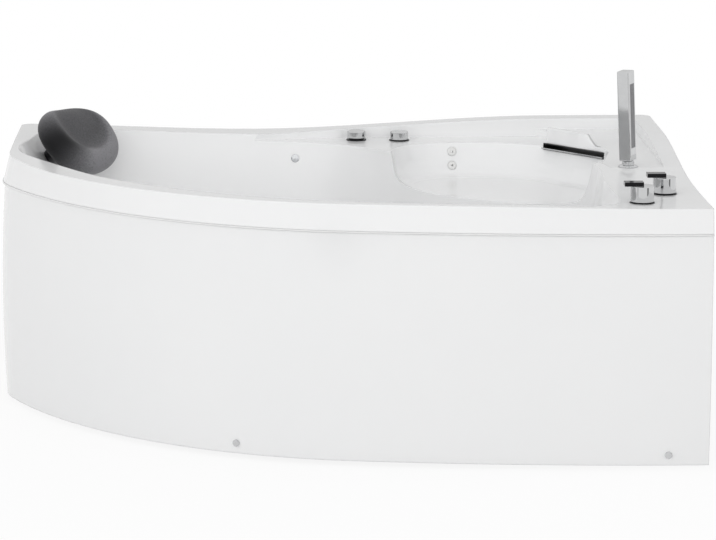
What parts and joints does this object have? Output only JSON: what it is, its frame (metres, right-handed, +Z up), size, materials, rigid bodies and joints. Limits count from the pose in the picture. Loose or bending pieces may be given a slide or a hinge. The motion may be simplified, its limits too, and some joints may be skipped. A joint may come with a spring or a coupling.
{
  "type": "jetted bathtub",
  "caption": "Asymmetric corner jetted bath with a bowed apron, deep basin, raised seat, waterfall spout, deck taps, hand shower, headrest, wall jets, pump and underframe.",
  "frame": {"origin": "on the floor under the middle of the bath's bounding box", "axes": "+X to the right along the back wall, +Y to the back wall, +Z up; the bowed apron faces -Y"},
  "size_m": [1.6003, 1.1303, 0.8136],
  "materials": {
    "acrylic": "polished",
    "chrome": "polished",
    "pillow": "soft satin",
    "black_plastic": "satin",
    "grey_plastic": "satin",
    "white_plastic": "satin",
    "frame_steel": "powder coated",
    "zinc_steel": "zinc plated",
    "motor_paint": "painted",
    "iron_core": "laminated",
    "board": "raw"
  },
  "bodies": {
    "tub": {"air_button_housing": "chrome", "air_regulator_housing": "chrome", "apron_brackets": "zinc_steel", "apron_panel": "acrylic", "apron_screw_caps": "chrome", "apron_screws": "zinc_steel", "back_tap_valve": "chrome", "base_board": "board", "bath_lamp": "chrome", "control_box": "grey_plastic", "drain_flange": "chrome", "drain_trap": "grey_plastic", "fan_cover": "black_plastic", "foot_lock_nuts": "zinc_steel", "frame_cross_bars": "frame_steel", "frame_posts": "frame_steel", "frame_rails": "frame_steel", "front_tap_valve": "chrome", "jet_bodies": "chrome", "jet_hoses": "white_plastic", "motor_bearings": "zinc_steel", "motor_housing": "motor_paint", "motor_stator": "iron_core", "overflow_body": "chrome", "pump_base": "frame_steel", "pump_volute": "grey_plastic", "ring_main": "white_plastic", "seat_jets": "chrome", "shower_socket": "chrome", "spout_feed_pipe": "white_plastic", "spout_lip": "chrome", "suction_body": "grey_plastic", "suction_grille": "chrome", "suction_pipe": "white_plastic", "tub_shell": "acrylic", "waterfall_spout": "black_plastic"},
    "headrest": {"headrest_pillow": "pillow", "headrest_pegs": "black_plastic"},
    "hand_shower_set": {"hand_shower": "chrome", "shower_spray_plate": "black_plastic"},
    "front_tap": {"front_tap_handle": "chrome"},
    "back_tap": {"back_tap_handle": "chrome"},
    "air_button": {"air_button_cap": "chrome"},
    "air_regulator": {"air_regulator_knob": "chrome"},
    "overflow_turn": {"overflow_knob": "chrome"},
    "plug": {"drain_plug": "chrome"},
    "pump_rotor": {"rotor_shaft": "zinc_steel", "impeller": "grey_plastic", "cooling_fan": "black_plastic"},
    "nozzle_front_1": {"jet_nozzle_front_1": "white_plastic"},
    "nozzle_front_2": {"jet_nozzle_front_2": "white_plastic"},
    "nozzle_front_3": {"jet_nozzle_front_3": "white_plastic"},
    "nozzle_back_1": {"jet_nozzle_back_1": "white_plastic"},
    "nozzle_back_2": {"jet_nozzle_back_2": "white_plastic"},
    "nozzle_back_3": {"jet_nozzle_back_3": "white_plastic"},
    "foot_back_left": {"foot_back_left": "zinc_steel"},
    "foot_back_right": {"foot_back_right": "zinc_steel"},
    "foot_front_left": {"foot_front_left": "zinc_steel"},
    "foot_front_middle": {"foot_front_middle": "zinc_steel"},
    "foot_front_right": {"foot_front_right": "zinc_steel"}
  },
  "joints": [
    {"name": "headrest_pull_off", "type": "slide", "parent": "tub", "child": "headrest", "axis": [0.687, -0.481, 0.5446], "range_m": [0, 0.12]},
    {"name": "hand_shower_lift", "type": "slide", "parent": "tub", "child": "hand_shower_set", "axis": [-0.0436, 0, 0.999], "range_m": [0, 0.2]},
    {"name": "front_tap_turn", "type": "hinge", "parent": "tub", "child": "front_tap", "pos_m": [0.655, -0.455, 0.57893], "axis": [0, 0, 1], "range_deg": [0, 90]},
    {"name": "back_tap_turn", "type": "hinge", "parent": "tub", "child": "back_tap", "pos_m": [0.72, -0.335, 0.57707], "axis": [0, 0, 1], "range_deg": [0, 90]},
    {"name": "air_button_press", "type": "slide", "parent": "tub", "child": "air_button", "axis": [0, 0, -1], "range_m": [0, 0.003], "stiffness_N_per_m": 600, "springref_m": -0.004},
    {"name": "air_regulator_turn", "type": "hinge", "parent": "tub", "child": "air_regulator", "pos_m": [0.166, 0.473, 0.569], "axis": [0, 0, 1], "range_deg": [0, 270]},
    {"name": "overflow_knob_turn", "type": "hinge", "parent": "tub", "child": "overflow_turn", "pos_m": [0.3999, -0.48191, 0.50476], "axis": [0.1048, 0.9645, 0.2425], "range_deg": [0, 90]},
    {"name": "drain_plug_lift", "type": "slide", "parent": "tub", "child": "plug", "axis": [0, 0, 1], "range_m": [0, 0.012]},
    {"name": "pump_rotor_spin", "type": "hinge", "parent": "tub", "child": "pump_rotor", "pos_m": [0.238, 0.437, 0.233], "axis": [1, 0, 0], "continuous": true},
    {"name": "jet_front_1_swivel", "type": "hinge", "parent": "tub", "child": "nozzle_front_1", "pos_m": [-0.38446, -0.18087, 0.36275], "axis": [-0.7397, 0.6729, 0], "range_deg": [-15, 15]},
    {"name": "jet_front_2_swivel", "type": "hinge", "parent": "tub", "child": "nozzle_front_2", "pos_m": [-0.09248, -0.36466, 0.36314], "axis": [-0.93, 0.3676, 0], "range_deg": [-15, 15]},
    {"name": "jet_front_3_swivel", "type": "hinge", "parent": "tub", "child": "nozzle_front_3", "pos_m": [0.18916, -0.43165, 0.3633], "axis": [-0.9922, 0.1243, 0], "range_deg": [-15, 15]},
    {"name": "jet_back_1_swivel", "type": "hinge", "parent": "tub", "child": "nozzle_back_1", "pos_m": [-0.48127, 0.43489, 0.36251], "axis": [0.981, 0.1939, 0], "range_deg": [-15, 15]},
    {"name": "jet_back_2_swivel", "type": "hinge", "parent": "tub", "child": "nozzle_back_2", "pos_m": [-0.27971, 0.43688, 0.36311], "axis": [0.9991, -0.0433, 0], "range_deg": [-15, 15]},
    {"name": "jet_back_3_swivel", "type": "hinge", "parent": "tub", "child": "nozzle_back_3", "pos_m": [-0.07865, 0.41388, 0.36343], "axis": [0.9803, -0.1973, 0], "range_deg": [-15, 15]},
    {"name": "foot_back_left_level", "type": "slide", "parent": "tub", "child": "foot_back_left", "axis": [0, 0, -1], "range_m": [0, 0.02]},
    {"name": "foot_back_right_level", "type": "slide", "parent": "tub", "child": "foot_back_right", "axis": [0, 0, -1], "range_m": [0, 0.02]},
    {"name": "foot_front_left_level", "type": "slide", "parent": "tub", "child": "foot_front_left", "axis": [0, 0, -1], "range_m": [0, 0.02]},
    {"name": "foot_front_middle_level", "type": "slide", "parent": "tub", "child": "foot_front_middle", "axis": [0, 0, -1], "range_m": [0, 0.02]},
    {"name": "foot_front_right_level", "type": "slide", "parent": "tub", "child": "foot_front_right", "axis": [0, 0, -1], "range_m": [0, 0.02]}
  ],
  "couplings": [
    {"joint": "drain_plug_lift", "follows": "overflow_knob_turn", "m_per_rad": 0.0076394}
  ]
}
